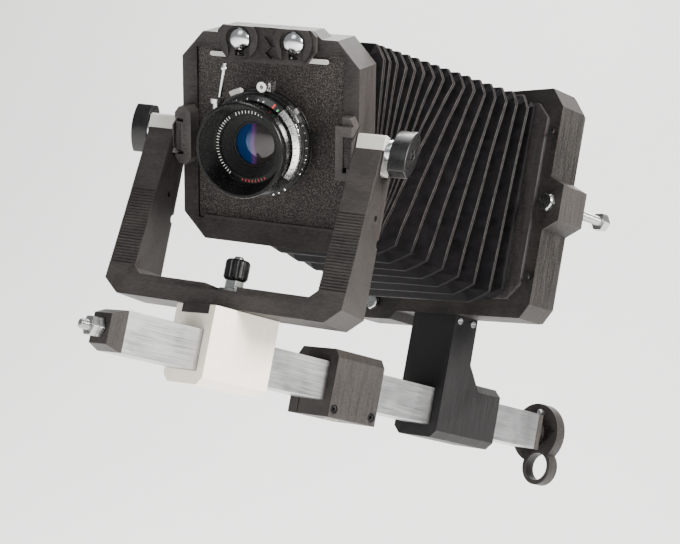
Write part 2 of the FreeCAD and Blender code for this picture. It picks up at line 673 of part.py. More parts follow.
def ring_wire(frame, depth, half, low, high, bevel):
    """Closed eight-sided outline square to a frame's depth axis."""
    corners = (
        (-half + bevel, low), (half - bevel, low), (half, low + bevel), (half, high - bevel),
        (half - bevel, high), (-half + bevel, high), (-half, high - bevel), (-half, low + bevel),
    )
    points = [frame.multVec(Vector(across, depth, up)) for across, up in corners]
    return Part.makePolygon(points + points[:1])


def between(front_size, rear_size, front_depth, rear_depth):
    """Solid between an outline behind the lens frame and one before the rear frame."""
    front = ring_wire(lens_frame, measure("frame_rear") + front_depth, *front_size)
    rear = ring_wire(rail_frame, measure("back_front") + rear_depth, *rear_size)
    return Part.makeLoft([front, rear], True, True)


def collar(frame, depth, end_depth, size):
    """Short straight stretch of bellows cloth glued to a flange."""
    start = ring_wire(frame, depth, *size)
    end = ring_wire(frame, end_depth, *size)
    return Part.makeLoft([start, end], True, True)


# The folds' outer edges, the glued collars and the clear inside, each as half width, low, high and bevel.
front_folds = (57.5, -63.5, 64.5, 12)
rear_folds = (66.5, 72, 213.5, 11)
front_collar = (50.5, -54.5, 55.5, 6)
rear_collar_size = (62, 79, 207, 8)
front_inside = (46.5, -51, 52.5, 6)
rear_inside = (56, 82, 203, 8)
rear_plane = measure("back_front") - 2.83
front_plane = measure("frame_rear") + 2.23
skin = between(front_folds, rear_folds, 4.5, -6)
skin = skin.fuse(collar(lens_frame, front_plane, front_plane + 3, front_collar))
skin = skin.fuse(collar(rail_frame, rear_plane, rear_plane - 4, rear_collar_size))
bellows = doc.addObject("Part::Feature", "Bellows")
bellows.Shape = skin.cut(between(front_inside, rear_inside, 1, -1))
bellows.Label = "bellows"
nodes.append(bellows)

# ---- rear standard ----
base_octagon = plate(
    "y", ("back_front + 0.2", "base_rear"),
    bevelled(both_sides("base_half"), (-21, 21), 5.5, 5),
)
post_side = plate(
    "x", both_sides("base_half"),
    [
        ("back_front + 0.2", 10), (131.3, 10), (131.3, 15.5), (118.9, 32.8),
        ("back_rear", "back_low - 0.05"), ("back_front + 0.2", "back_low - 0.05"),
    ],
)
rail_passage = box(*rail_bore[:1], ("back_front", "base_rear"), rail_bore[1])
tongue_pocket = box(both_sides(14.05), (98.55, 116.05), (53.95, "back_low"))
side_screws = []
side_holes = []
for side in (LEFT, RIGHT):
    for along in (101.3, 114.0):
        reach = beside(side, 10, "base_half - 0.3")
        hole = rod("x", (along, 60.2), beside(side, 10, "base_half"), 1.3)
        head = rod("x", (along, 60.2), beside(side, "base_half - 0.3", "base_half + 0.9"), 2.25)
        head_seat = rod("x", (along, 60.2), beside(side, "base_half - 0.35", "base_half"), 2.3)
        head_slot_limits = beside(side, "base_half + 0.3", "base_half + 1")
        head_slot = box(head_slot_limits, (along - 3, along + 3), (59.85, 60.55))
        side_screws.append(cut(join(rod("x", (along, 60.2), reach, 1.25), head), head_slot))
        side_holes.append(join(hole, head_seat))
post_shell = join(base_octagon, post_side)
node("rear_post", cut(post_shell, rail_passage, tongue_pocket, group(*side_holes)), rail_frame)
node("post_screws", group(*side_screws), rail_frame)


def back_outline(inset):
    """Outline of the rear frame with its side ears and bottom ear."""
    half = "back_half - %s" % inset
    ear = "ear_reach - %s" % inset
    top = "back_high - %s" % inset
    low = "back_low + %s" % inset
    right = [
        ("%s - 7" % half, low), (half, "%s + 9.6" % low), (half, 123.7), (ear, 130.2),
        (ear, 153.8), (half, 159.6), (half, "%s - 13" % top), ("%s - 11" % half, top),
    ]
    left = [
        ("-(%s - 11)" % half, top), ("-(%s)" % half, "%s - 13" % top), ("-(%s)" % half, 159.6),
        ("-(%s)" % ear, 153.8), ("-(%s)" % ear, 130.2), ("-(%s)" % half, 123.7),
        ("-(%s)" % half, "back_low + 3"), (-82, 57.8), (-44.3, 57.8), (-39.7, low),
    ]
    return right + left


stud_places = (("stud_spread", "stud_level"), ("-stud_spread", "stud_level"), (-63.3, 69.7))
frame_window = rectangle(both_sides(60), (82, 204))
back_plate = plate("y", ("back_front", "back_rear"), back_outline(0), frame_window)
frame_tongue = box(both_sides(14), (98.6, 116), (54, "back_low + 1"))
stud_holes = [rod("y", place, ("back_front", "back_rear"), "stud_radius + 0.025") for place in stud_places]
pin_places = [(side * 81.6, level) for side in (LEFT, RIGHT) for level in (91.4, 190)]
pin_seats = [rod("y", place, ("back_front", "back_front + 4"), 1.25) for place in pin_places]
tongue_holes = [
    rod("x", (along, 60.2), both_sides(15), 1.3) for along in (101.3, 114.0)
]
back_cuts = (*stud_holes, group(*pin_seats), group(*tongue_holes))
node("rear_frame", cut(join(back_plate, frame_tongue), *back_cuts), rail_frame)
pins = []
for across, level in pin_places:
    pins.append(join(
        rod("y", (across, level), ("back_front - 2.6", "back_front + 3.9"), 1.2),
        rod("y", (across, level), ("back_front - 3.4", "back_front - 2.4"), 2.0),
    ))
node("flange_pins", group(*pins), rail_frame)
studs = []
stud_nuts = []
for place in stud_places:
    studs.append(join(
        hexagon("y", place, ("back_front - 4.3", "back_front - 0.02"), "nut_flats"),
        rod("y", place, ("back_front - 1", 155), "stud_radius"),
    ))
    nut = join(
        hexagon("y", place, (147.5, 153.2), "nut_flats"),
        cone("y", place, (153.2, 156.6), 4.9, 2.6),
    )
    stud_nuts.append(cut(nut, rod("y", place, (147, 155.05), "stud_radius + 0.025")))
node("back_studs", group(*studs), rail_frame)
node("back_nuts", group(*stud_nuts), rail_frame)

# ---- focusing back ----
focus_plate = plate("y", ("back_rear + 0.1", "back_rear + 3.1"), back_outline(0.8), frame_window)
focus_rim = plate(
    "y", ("back_rear + 3", "back_rear + 14"),
    rectangle(both_sides(72), (76, 211)),
    rectangle(both_sides(60), (82, 204)),
)
glass_rebate = box(both_sides(64.1), ("back_rear + 10", "back_rear + 15"), (79.9, 206.1))
lug_holes = [rod("y", place, ("back_rear", "back_rear + 4"), "stud_radius + 0.08") for place in stud_places]
node("ground_glass_frame", cut(join(focus_plate, focus_rim), glass_rebate, *lug_holes), rail_frame)
glass_span = ("back_rear + 10.05", "back_rear + 12")
node("ground_glass", plate("y", glass_span, rectangle(both_sides(64), (80, 206))), rail_frame)
clips = []
for across_side in (LEFT, RIGHT):
    for level in (104, 182):
        clip_reach = beside(across_side, 61, 70)
        clip = box(clip_reach, ("back_rear + 14.02", "back_rear + 15.0"), (level - 5, level + 5))
        toe_reach = beside(across_side, 61, 63.9)
        toe = box(toe_reach, ("back_rear + 12.05", "back_rear + 14.1"), (level - 5, level + 5))
        screw = rod("y", (67.5 * across_side, level), ("back_rear + 14.9", "back_rear + 16.2"), 2.0)
        clips.append(join(clip, toe, screw))
node("glass_clips", group(*clips), rail_frame)

doc.recompute()
os.makedirs("parts", exist_ok=True)
for item in doc.Objects:
    if "Invalid" in item.State or "Error" in item.State:
        raise RuntimeError("%s did not build" % item.Label)
for item in nodes:
    if item.Shape.isNull() or not item.Shape.isValid() or not item.Shape.Solids:
        raise RuntimeError("%s has no valid solid" % item.Label)
for item in nodes:
    item.Shape.exportStep("parts/%s.step" % item.Label)
print(len(nodes), "pieces written")
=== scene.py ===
"""Looks of the view camera: materials, pleated bellows, lens, threads and light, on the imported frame."""
import math
import bpy
from mathutils import Matrix, Vector


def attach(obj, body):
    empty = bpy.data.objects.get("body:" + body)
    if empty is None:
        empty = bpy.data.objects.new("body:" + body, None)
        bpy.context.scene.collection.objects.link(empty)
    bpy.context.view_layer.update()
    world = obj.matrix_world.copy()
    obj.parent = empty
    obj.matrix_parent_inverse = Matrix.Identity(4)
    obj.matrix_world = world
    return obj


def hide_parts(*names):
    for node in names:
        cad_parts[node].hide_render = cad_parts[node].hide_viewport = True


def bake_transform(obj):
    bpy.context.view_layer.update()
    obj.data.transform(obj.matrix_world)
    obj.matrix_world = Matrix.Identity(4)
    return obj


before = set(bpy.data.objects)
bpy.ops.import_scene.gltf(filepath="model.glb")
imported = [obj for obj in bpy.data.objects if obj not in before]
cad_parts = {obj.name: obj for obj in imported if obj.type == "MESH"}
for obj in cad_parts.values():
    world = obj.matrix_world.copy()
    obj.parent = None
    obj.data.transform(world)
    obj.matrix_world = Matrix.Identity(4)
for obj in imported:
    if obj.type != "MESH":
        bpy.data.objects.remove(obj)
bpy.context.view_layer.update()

MM = 0.001
SWING_ANGLE = 26.9
TILT_ANGLE = 25.3
# Frames: RAIL sits on the rail's axis, FRONT on the swing stud, LENS on the tilt pivots.
RAIL = Matrix.Translation(Vector((0, -20.5, 22.9)) * MM)
SWING = Matrix.Translation(Vector((0, -78, 0)) * MM) @ Matrix.Rotation(math.radians(SWING_ANGLE), 4, "Z")
FRONT = RAIL @ SWING
TILT = Matrix.Translation(Vector((0, 9.5, 140.5)) * MM) @ Matrix.Rotation(math.radians(TILT_ANGLE), 4, "X")
LENS = FRONT @ TILT
LENS_AXIS = 1.5


# ---------------------------------------------------------------- materials

class Look:
    """One node-based material under construction."""

    def __init__(self, name, place=Matrix.Identity(4)):
        self.material = bpy.data.materials.new(name)
        self.material.use_nodes = True
        self.nodes = self.material.node_tree.nodes
        self.links = self.material.node_tree.links
        self.shader = self.nodes["Principled BSDF"]
        self.coordinates = self.node("ShaderNodeTexCoord").outputs["Object"]
        self.turn = place.to_3x3().inverted().to_euler("XYZ")
        self.shift = place.inverted().to_translation()
        self.height = None

    def node(self, kind, **values):
        """New shader node with its settings and unlinked inputs."""
        made = self.nodes.new(kind)
        for key, value in values.items():
            if hasattr(made, key):
                setattr(made, key, value)
            else:
                made.inputs[key.replace("_", " ")].default_value = value
        return made

    def link(self, source, target):
        self.links.new(source, target)
        return target

    def place(self, scale=(1, 1, 1)):
        """Object coordinates turned into the piece's own frame, then stretched."""
        moved = self.node("ShaderNodeMapping", vector_type="POINT")
        moved.inputs["Rotation"].default_value = self.turn
        moved.inputs["Location"].default_value = self.shift
        self.link(self.coordinates, moved.inputs["Vector"])
        stretched = self.node("ShaderNodeMapping", vector_type="POINT")
        stretched.inputs["Scale"].default_value = scale
        self.link(moved.outputs["Vector"], stretched.inputs["Vector"])
        return stretched.outputs["Vector"]

    def noise(self, scale, detail=3.0, stretch=(1, 1, 1), roughness=0.55):
        """Noise whose scale counts features per metre."""
        made = self.node("ShaderNodeTexNoise", Scale=scale, Detail=detail, Roughness=roughness)
        self.link(self.place(stretch), made.inputs["Vector"])
        return made.outputs["Fac"]

    def cells(self, scale, stretch=(1, 1, 1)):
        """Distance to the nearest cell centre."""
        made = self.node("ShaderNodeTexVoronoi", Scale=scale)
        self.link(self.place(stretch), made.inputs["Vector"])
        return made.outputs["Distance"]

    def ramp(self, source, low, high, start=0.0, end=1.0):
        """Remap a value between two limits."""
        made = self.node("ShaderNodeMapRange")
        for name, value in (("From Min", low), ("From Max", high), ("To Min", start), ("To Max", end)):
            made.inputs[name].default_value = value
        self.link(source, made.inputs["Value"])
        return made.outputs["Result"]

    def maths(self, operation, first, second):
        """Arithmetic on two sockets or numbers."""
        made = self.node("ShaderNodeMath", operation=operation)
        for socket, value in zip(made.inputs, (first, second)):
            if isinstance(value, (int, float)):
                socket.default_value = value
            else:
                self.link(value, socket)
        return made.outputs["Value"]

    def mix(self, factor, first, second):
        """Colour between two colours or sockets."""
        made = self.node("ShaderNodeMix", data_type="RGBA")
        inputs = [made.inputs[0], made.inputs[6], made.inputs[7]]
        for socket, value in zip(inputs, (factor, first, second)):
            if isinstance(value, bpy.types.NodeSocket):
                self.link(value, socket)
            elif isinstance(value, (int, float)):
                socket.default_value = value
            else:
                socket.default_value = (*value[:3], 1)
        return made.outputs[2]

    def edges(self, low=0.51, high=0.56):
        """Mask of outward edges."""
        geometry = self.node("ShaderNodeNewGeometry")
        return self.ramp(geometry.outputs["Pointiness"], low, high)

    def colour(self, value):
        socket = self.shader.inputs["Base Color"]
        if isinstance(value, bpy.types.NodeSocket):
            self.link(value, socket)
        else:
            socket.default_value = (*value[:3], 1)

    def rough(self, value):
        socket = self.shader.inputs["Roughness"]
        if isinstance(value, bpy.types.NodeSocket):
            self.link(value, socket)
        else:
            socket.default_value = value

    def set(self, name, value):
        self.shader.inputs[name].default_value = value

    def bump(self, source, depth_mm, strength=1.0):
        """Add relief of a given depth over any relief already there."""
        made = self.node("ShaderNodeBump", Strength=strength, Distance=depth_mm * MM)
        self.link(source, made.inputs["Height"])
        if self.height is not None:
            self.link(self.height, made.inputs["Normal"])
        self.height = made.outputs["Normal"]
        self.link(self.height, self.shader.inputs["Normal"])


def printed_plastic(name, dark, light, place, layers=(0.05, 1, 0.05), rough=(0.42, 0.62), relief=0.05):
    """Plastic laid down in layers: long streaks along each layer, mottling and rubbed edges."""
    look = Look(name, place)
    streaks = look.noise(750, 4, layers, 0.6)
    broad = look.noise(28, 3, (1, 1, 1))
    fine = look.noise(900, 3, (0.35, 0.8, 1.0), 0.7)
    weave = look.maths("ADD", look.maths("MULTIPLY", streaks, 0.5), look.maths("MULTIPLY", fine, 0.5))
    body = look.mix(look.ramp(weave, 0.43, 0.6), [c * 0.3 for c in dark], [c * 1.6 for c in light])
    cloudy = look.mix(look.ramp(broad, 0.3, 0.75, 0, 0.3), body, light)
    worn = look.mix(look.maths("MULTIPLY", look.edges(), 0.45), cloudy, [c * 1.9 + 0.02 for c in light])
    look.colour(worn)
    look.rough(look.ramp(streaks, 0.3, 0.7, rough[0], rough[1]))
    look.set("Specular IOR Level", 0.2)
    look.bump(streaks, relief * 2.4, 0.8)
    look.bump(fine, relief * 2, 0.7)
    return look.material


def pebbled_board():
    """Lens board with a coarse pebbled, speckled face."""
    look = Look("board_pebble", LENS)
    grain = look.noise(820, 3, (1, 0.4, 1), 0.7)
    pits = look.cells(1500, (1, 0.3, 1))
    speckle = look.ramp(look.noise(1300, 2, (1, 0.3, 1), 0.7), 0.5, 0.62)
    base = look.mix(look.ramp(grain, 0.38, 0.66), (0.0012, 0.001, 0.0010), (0.030, 0.0255, 0.023))
    look.colour(look.mix(look.maths("MULTIPLY", speckle, 0.55), base, (0.15, 0.125, 0.112)))
    look.set("Specular IOR Level", 0.3)
    look.rough(look.ramp(grain, 0.3, 0.7, 0.5, 0.78))
    look.bump(grain, 0.5, 0.75)
    look.bump(pits, 0.2, 0.5)
    return look.material


def metal(name, colour, rough, place=RAIL, brush=None, relief=0.02, spots=0.0):
    """Metal with brushing along one direction, smudges and optional dull spots."""
    look = Look(name, place)
    smudge = look.noise(45, 3)
    if brush:
        lines = look.noise(1400, 3, brush, 0.6)
        low = [c * 0.78 for c in colour]
        high = [min(c * 1.08, 1) for c in colour]
        tint = look.mix(look.ramp(lines, 0.3, 0.7), low, high)
        look.bump(lines, relief, 0.6)
    else:
        lines = look.noise(900, 3)
        tint = look.mix(look.ramp(lines, 0.35, 0.65, 0, 0.5), colour, [c * 0.86 for c in colour])
        look.bump(lines, relief, 0.3)
    if spots:
        stains = look.ramp(look.noise(160, 4, (1, 0.35, 1)), 0.56, 0.72, 0, spots)
        tint = look.mix(stains, tint, [c * 0.45 for c in colour])
    look.colour(tint)
    handled = look.ramp(smudge, 0.3, 0.7, 0, 0.12)
    brushed = look.ramp(lines, 0.3, 0.7, rough - 0.05, rough + 0.06)
    look.rough(look.maths("ADD", handled, brushed))
    look.set("Metallic", 1.0)
    return look.material


def satin_black(name, place=LENS, tone=0.012, rough=0.34, clear=0.0, shine=0.4):
    """Black anodised or moulded finish with faint handling marks and bright worn edges."""
    look = Look(name, place)
    marks = look.noise(320, 4)
    grain = look.noise(2400, 2)
    pale = (tone * 2.4, tone * 2.3, tone * 2.3)
    base = look.mix(look.ramp(marks, 0.35, 0.7), (tone, tone, tone * 1.05), pale)
    look.colour(look.mix(look.maths("MULTIPLY", look.edges(0.53, 0.62), 0.12), base, (0.16, 0.155, 0.15)))
    look.rough(look.ramp(marks, 0.3, 0.7, rough - 0.06, rough + 0.1))
    look.set("Coat Weight", clear)
    look.set("Specular IOR Level", shine)
    look.bump(grain, 0.015, 0.4)
    return look.material


# Degrees: the middle of the ring's silver sector, painted where the ring catches the light, and its reach to
# each side.
LIT_SECTOR_MIDDLE = 5
LIT_SECTOR_REACH = 44


def ring_painted_reflection():
    """Brushed silver ring whose dark reflections are painted black outside the sector that catches the light.
    """
    look = Look("ring_painted_reflection", LENS)
    parts = look.node("ShaderNodeSeparateXYZ")
    look.link(look.place(), parts.inputs["Vector"])
    level = look.maths("SUBTRACT", parts.outputs["Z"], LENS_AXIS * MM)
    angle = look.maths("ARCTAN2", level, parts.outputs["X"])
    away = look.maths("ABSOLUTE", look.maths("SUBTRACT", angle, math.radians(LIT_SECTOR_MIDDLE)), 0.0)
    # Painted light: silver in the sector that catches the light, painted black as dark reflection elsewhere.
    lit_sector = look.ramp(away, math.radians(LIT_SECTOR_REACH), math.radians(LIT_SECTOR_REACH - 1))
    lines = look.noise(1500, 3, (1, 0.2, 1))
    silver = look.mix(look.ramp(lines, 0.3, 0.7), (0.55, 0.55, 0.55), (0.8, 0.8, 0.79))
    black = look.mix(look.ramp(look.noise(300, 4), 0.3, 0.7), (0.003, 0.003, 0.003), (0.012, 0.012, 0.012))
    look.colour(look.mix(lit_sector, black, silver))
    look.link(lit_sector, look.shader.inputs["Metallic"])
    look.rough(look.ramp(lines, 0.3, 0.7, 0.2, 0.34))
    look.bump(lines, 0.01, 0.4)
    return look.material


def bellows_cloth():
    """Coated black cloth: fine weave, creases and painted highlights along the fold edges."""
    look = Look("bellows_cloth", RAIL)
    ridge = look.node("ShaderNodeAttribute", attribute_name="ridge_highlight")
    weave = look.noise(3200, 2, (1, 1, 1), 0.5)
    crumple = look.noise(190, 4, (0.4, 1.4, 1.0), 0.6)
    dust = look.ramp(look.noise(90, 4, (0.5, 1, 1)), 0.45, 0.75)
    base = look.mix(look.ramp(crumple, 0.3, 0.72), (0.0008, 0.0007, 0.0012), (0.0062, 0.0054, 0.0066))
    dusty = look.mix(look.maths("MULTIPLY", dust, 0.35), base, (0.011, 0.0100, 0.0104))
    # Painted highlight: the fold ridges are lightened where the light catches them, broken into uneven
    # patches by this noise.
    rubbed = look.ramp(look.noise(240, 3, (0.6, 0.6, 1)), 0.3, 0.62, 0.35, 1.0)
    edge = look.maths("MULTIPLY", look.ramp(ridge.outputs["Fac"], 0.25, 0.95), rubbed)
    look.colour(look.mix(edge, dusty, (0.105, 0.094, 0.089)))
    look.rough(look.ramp(crumple, 0.3, 0.7, 0.46, 0.66))
    look.set("Specular IOR Level", 0.12)
    look.set("Sheen Weight", 0.02)
    look.set("Sheen Roughness", 0.45)
    look.bump(crumple, 0.5, 0.5)
    look.bump(weave, 0.06, 0.6)
    return look.material


def cream_plastic(name, place, tone=(0.97, 0.885, 0.755)):
    """Cream printed plastic that light sinks into a little."""
    look = Look(name, place)
    streaks = look.noise(620, 3, (0.06, 1, 0.06), 0.5)
    grime = look.ramp(look.noise(60, 4), 0.52, 0.8, 0, 0.25)
    base = look.mix(look.ramp(streaks, 0.3, 0.7), [c * 0.93 for c in tone], tone)
    look.colour(look.mix(grime, base, (0.6, 0.56, 0.47)))
    look.rough(look.ramp(streaks, 0.3, 0.7, 0.4, 0.55))
    look.set("Subsurface Weight", 0.15)
    look.set("Subsurface Radius", (0.004, 0.003, 0.002))
    look.set("Subsurface Scale", 0.6)
    look.bump(streaks, 0.05, 0.5)
    return look.material


def coated_glass(name, blue, purple, place=LENS):
    """Lens glass with its coating's reflection painted across the face, blue to purple on one side and dark
    on the other, with faint dust.
    """
    look = Look(name, place)
    parts = look.node("ShaderNodeSeparateXYZ")
    look.link(look.place(), parts.inputs["Vector"])
    # Painted reflection: the coating's colours are laid across the face along x, not taken from the view.
    across = look.maths("ADD", parts.outputs["X"], look.ramp(look.noise(90, 2), 0.3, 0.7, -0.001, 0.001))
    painted_reflection = look.mix(look.ramp(across, -0.0032, -0.0012), blue, purple)
    tint = look.mix(look.ramp(across, -0.0006, 0.0016), painted_reflection, (0.030, 0.024, 0.022))
    dust = look.ramp(look.cells(420), 0.02, 0.05, 0.5, 0.0)
    look.colour(look.mix(dust, tint, (0.5, 0.5, 0.5)))
    look.rough(look.ramp(look.noise(130, 3), 0.4, 0.7, 0.015, 0.05))
    look.set("Metallic", 0.2)
    look.set("IOR", 1.5)
    look.set("Coat Weight", 0.2)
    look.set("Coat Roughness", 0.01)
    look.set("Coat Tint", (0.75, 0.7, 1.0, 1))
    return look.material


GRID_PITCH = 12.7 * MM
GRID_LINE = 0.2 * MM


def ground_glass_look():
    """Ground glass with a ruled grid."""
    look = Look("ground_glass_ruled", RAIL)
    grid = look.node("ShaderNodeTexBrick", offset=0.0, Scale=1.0)
    for key, value in (("Mortar Size", GRID_LINE), ("Brick Width", GRID_PITCH), ("Row Height", GRID_PITCH)):
        grid.inputs[key].default_value = value
    upright = look.node("ShaderNodeMapping", vector_type="POINT")
    upright.inputs["Rotation"].default_value = (math.radians(-90), 0, 0)
    look.link(look.coordinates, upright.inputs["Vector"])
    look.link(upright.outputs["Vector"], grid.inputs["Vector"])
    frost = look.noise(3000, 2)
    base = look.mix(look.ramp(frost, 0.3, 0.7), (0.62, 0.65, 0.64), (0.74, 0.77, 0.76))
    look.colour(look.mix(grid.outputs["Fac"], base, (0.05, 0.05, 0.05)))
    look.rough(look.ramp(frost, 0.3, 0.7, 0.45, 0.6))
    look.set("Transmission Weight", 0.45)
    look.bump(frost, 0.03, 0.5)
    return look.material


def plain_mark(name, colour, rough=0.5):
    """Slightly worn paint of a scale mark."""
    look = Look(name, LENS)
    wear = look.noise(900, 3)
    look.colour(look.mix(look.ramp(wear, 0.35, 0.7), colour, [c * 0.7 for c in colour]))
    look.rough(look.ramp(wear, 0.3, 0.7, rough - 0.1, rough + 0.1))
    return look.material


BLACK_DARK = (0.0022, 0.002, 0.0019)
BLACK_LIGHT = (0.0195, 0.0165, 0.0150)
# Painted shade: a much darker copy of the black printed plastic for the rear post.
POST_SHADE_DARK = (0.0004, 0.0004, 0.0005)
POST_SHADE_LIGHT = (0.0026, 0.0022, 0.0026)
# Painted shade: a darker copy of the black printed plastic for the rear frame and the ground glass frame.
REAR_SHADE_DARK = (0.0018, 0.0016, 0.0015)
REAR_SHADE_LIGHT = (0.017, 0.0145, 0.013)
GREY_DARK = (0.008, 0.007, 0.0066)
GREY_LIGHT = (0.032, 0.028, 0.026)
FLANGE_DARK = (0.010, 0.009, 0.009)
FLANGE_LIGHT = (0.026, 0.023, 0.022)
looks = {
    "yoke": printed_plastic("printed_black_yoke", BLACK_DARK, BLACK_LIGHT, FRONT),
    "lens_frame": printed_plastic("printed_black_frame", BLACK_DARK, BLACK_LIGHT, LENS),
    "rail_black": printed_plastic("printed_black_rail", BLACK_DARK, BLACK_LIGHT, RAIL),
    # The rear post's copy carries painted shade.
    "post_black_shaded": printed_plastic("printed_black_post_shaded", POST_SHADE_DARK, POST_SHADE_LIGHT, RAIL),
    # The rear frames' copy carries painted shade.
    "rear_black_shaded": printed_plastic("printed_black_rear_shaded", REAR_SHADE_DARK, REAR_SHADE_LIGHT, RAIL, relief=0.09),
    "grey": printed_plastic("printed_grey", GREY_DARK, GREY_LIGHT, LENS),
    "flange": printed_plastic("flange_grey", FLANGE_DARK, FLANGE_LIGHT, RAIL, (0.5, 1, 0.08)),
    "board": pebbled_board(),
    "bellows": bellows_cloth(),
    "cream": cream_plastic("cream_carriage", RAIL),
    # Painted shade: the risers, latch strip and preview lever get a darker grey copy of the cream plastic.
    "cream_riser_shaded": cream_plastic("cream_riser_shaded", FRONT, (0.52, 0.51, 0.47)),
    "rail": metal("brushed_aluminium", (0.39, 0.395, 0.40), 0.32, RAIL, (1, 0.02, 1), 0.03, 0.35),
    "silver": metal("satin_silver", (0.62, 0.62, 0.61), 0.2, LENS, (1, 0.1, 1), 0.02),
    "steel": metal("zinc_steel", (0.40, 0.41, 0.40), 0.24, RAIL, None, 0.05, 0.4),
    "chrome": metal("polished_chrome", (0.66, 0.68, 0.68), 0.1, LENS, None, 0.01, 0.15),
    "brass": metal("machined_brass", (0.78, 0.6, 0.3), 0.3, RAIL, None, 0.02, 0.2),
    "black_metal": satin_black("anodised_black", LENS, 0.0028, 0.28, 0.05, 0.3),
    "black_gloss": satin_black("black_gloss", LENS, 0.0016, 0.22, 0.0, 0.16),
    "ring_painted_reflection": ring_painted_reflection(),
    "pointer": satin_black("pointer_black", LENS, 0.0008, 0.3, 0.0, 0.2),
    "knob": satin_black("moulded_knob", FRONT, 0.003, 0.3, 0.1),
    "baffle": satin_black("baffle_black", LENS, 0.002, 0.55, 0, 0.2),
    "glass": coated_glass("coated_glass_front", (0.006, 0.035, 0.12), (0.10, 0.035, 0.15)),
    "glass_rear": coated_glass("coated_glass_rear", (0.05, 0.04, 0.2), (0.3, 0.16, 0.1)),
    "ground_glass": ground_glass_look(),
    "white_mark": plain_mark("white_mark", (0.85, 0.85, 0.82)),
    "red_mark": plain_mark("red_mark", (0.55, 0.05, 0.04)),
    "green_mark": plain_mark("green_mark", (0.06, 0.36, 0.16)),
}

NODE_LOOKS = {
    "yoke": ["front_yoke"],
    "lens_frame": ["lens_frame", "pivot_hubs", "board_latch"],
    "rail_black": ["tripod_block", "front_end_cap", "rear_end_plug", "swing_foot", "crank_disc"],
    "post_black_shaded": ["rear_post"],
    "rear_black_shaded": ["rear_frame", "ground_glass_frame"],
    "grey": ["pivot_plate_left", "pivot_plate_right"],
    "flange": ["bellows_rear_flange", "bellows_front_flange"],
    "board": ["lens_board"],
    "bellows": ["bellows"],
    "cream": ["front_carriage"],
    "cream_riser_shaded": ["riser_block_left", "riser_block_right", "latch_strip", "preview_lever"],
    "rail": ["rail"],
    "silver": ["speed_ring", "release_socket", "flash_terminal", "cocking_lever"],
    "steel": [
        "lead_screw", "lead_screw_nuts", "back_studs", "back_nuts", "swing_stud", "pivot_bolts", "crank_pin",
        "swing_nut", "swing_washer",
    ],
    "chrome": ["latch_bolts", "post_screws", "pivot_washers", "release_rod"],
    "brass": ["tripod_insert", "follower_nut"],
    "black_metal": [
        "shutter_body", "front_barrel", "retaining_ring", "iris_leaves", "flange_pins", "glass_clips",
        "block_screws",
    ],
    "pointer": ["aperture_lever"],
    "baffle": ["rear_barrel"],
    "knob": ["swing_knob", "tilt_knob_left", "tilt_knob_right"],
    "glass": ["front_glass"],
    "glass_rear": ["rear_glass"],
    "ground_glass": ["ground_glass"],
}
# Width in millimetres of the rounding on each CAD node's edges.
EDGE_WIDTHS = {
    "front_yoke": 0.35, "lens_frame": 0.6, "rear_frame": 0.6, "ground_glass_frame": 0.5,
    "tripod_block": 0.5, "rear_post": 0.5, "front_carriage": 0.9, "front_end_cap": 0.5,
    "rear_end_plug": 0.4, "swing_foot": 0.4, "crank_disc": 0.9, "rail": 0.5, "pivot_plate_left": 0.4,
    "pivot_plate_right": 0.35, "board_latch": 0.35, "riser_block_left": 0.5, "riser_block_right": 0.5,
    "tilt_knob_left": 1.6, "tilt_knob_right": 1.6, "swing_knob": 0.5, "bellows_rear_flange": 0.5,
    "bellows_front_flange": 0.4, "lead_screw_nuts": 0.3, "back_nuts": 0.3, "swing_nut": 0.3,
    "pivot_hubs": 0.3, "lens_board": 0.3, "shutter_body": 0.4, "pivot_washers": 0.2, "swing_washer": 0.2,
    "block_screws": 0.2, "post_screws": 0.15, "flash_terminal": 0.25, "release_socket": 0.2,
    "release_rod": 0.15, "glass_clips": 0.2, "retaining_ring": 0.3, "latch_strip": 0.1,
    "cocking_lever": 0.15, "preview_lever": 0.25, "aperture_lever": 0.15, "crank_pin": 0.2,
}


def soften(obj, width_mm):
    """Round a CAD node's edges with modifiers alone."""
    weld = obj.modifiers.new("Weld", "WELD")
    weld.merge_threshold = 0.002 * MM
    flat = obj.modifiers.new("Flatten", "DECIMATE")
    flat.decimate_type = "DISSOLVE"
    flat.angle_limit = math.radians(0.6)
    bevel = obj.modifiers.new("Edges", "BEVEL")
    bevel.width = width_mm * MM
    bevel.segments = 2
    bevel.limit_method = "ANGLE"
    bevel.angle_limit = math.radians(32)
    bevel.harden_normals = False
    normals = obj.modifiers.new("Normals", "WEIGHTED_NORMAL")
    normals.keep_sharp = False
    normals.weight = 80


for look, names in NODE_LOOKS.items():
    for name in names:
        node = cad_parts[name]
        node.data.materials.clear()
        node.data.materials.append(looks[look])
        for face in node.data.polygons:
            face.use_smooth = True
        if name in EDGE_WIDTHS:
            soften(node, EDGE_WIDTHS[name])


# ---------------------------------------------------------------- mesh tools

# Radius in millimetres at which a turned solid closes on its own axis.
AXIS_RADIUS = 0.02


def piece(name, points, faces, place, look, body=None, smooth=True):
    """Mesh piece from points in millimetres in one of the frames."""
    mesh = bpy.data.meshes.new(name)
    mesh.from_pydata([place @ (Vector(point) * MM) for point in points], [], faces)
    mesh.validate()
    obj = bpy.data.objects.new(name, mesh)
    bpy.context.scene.collection.objects.link(obj)
    mesh.materials.append(looks[look])
    for face in mesh.polygons:
        face.use_smooth = smooth
    if body:
        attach(obj, body)
    return obj


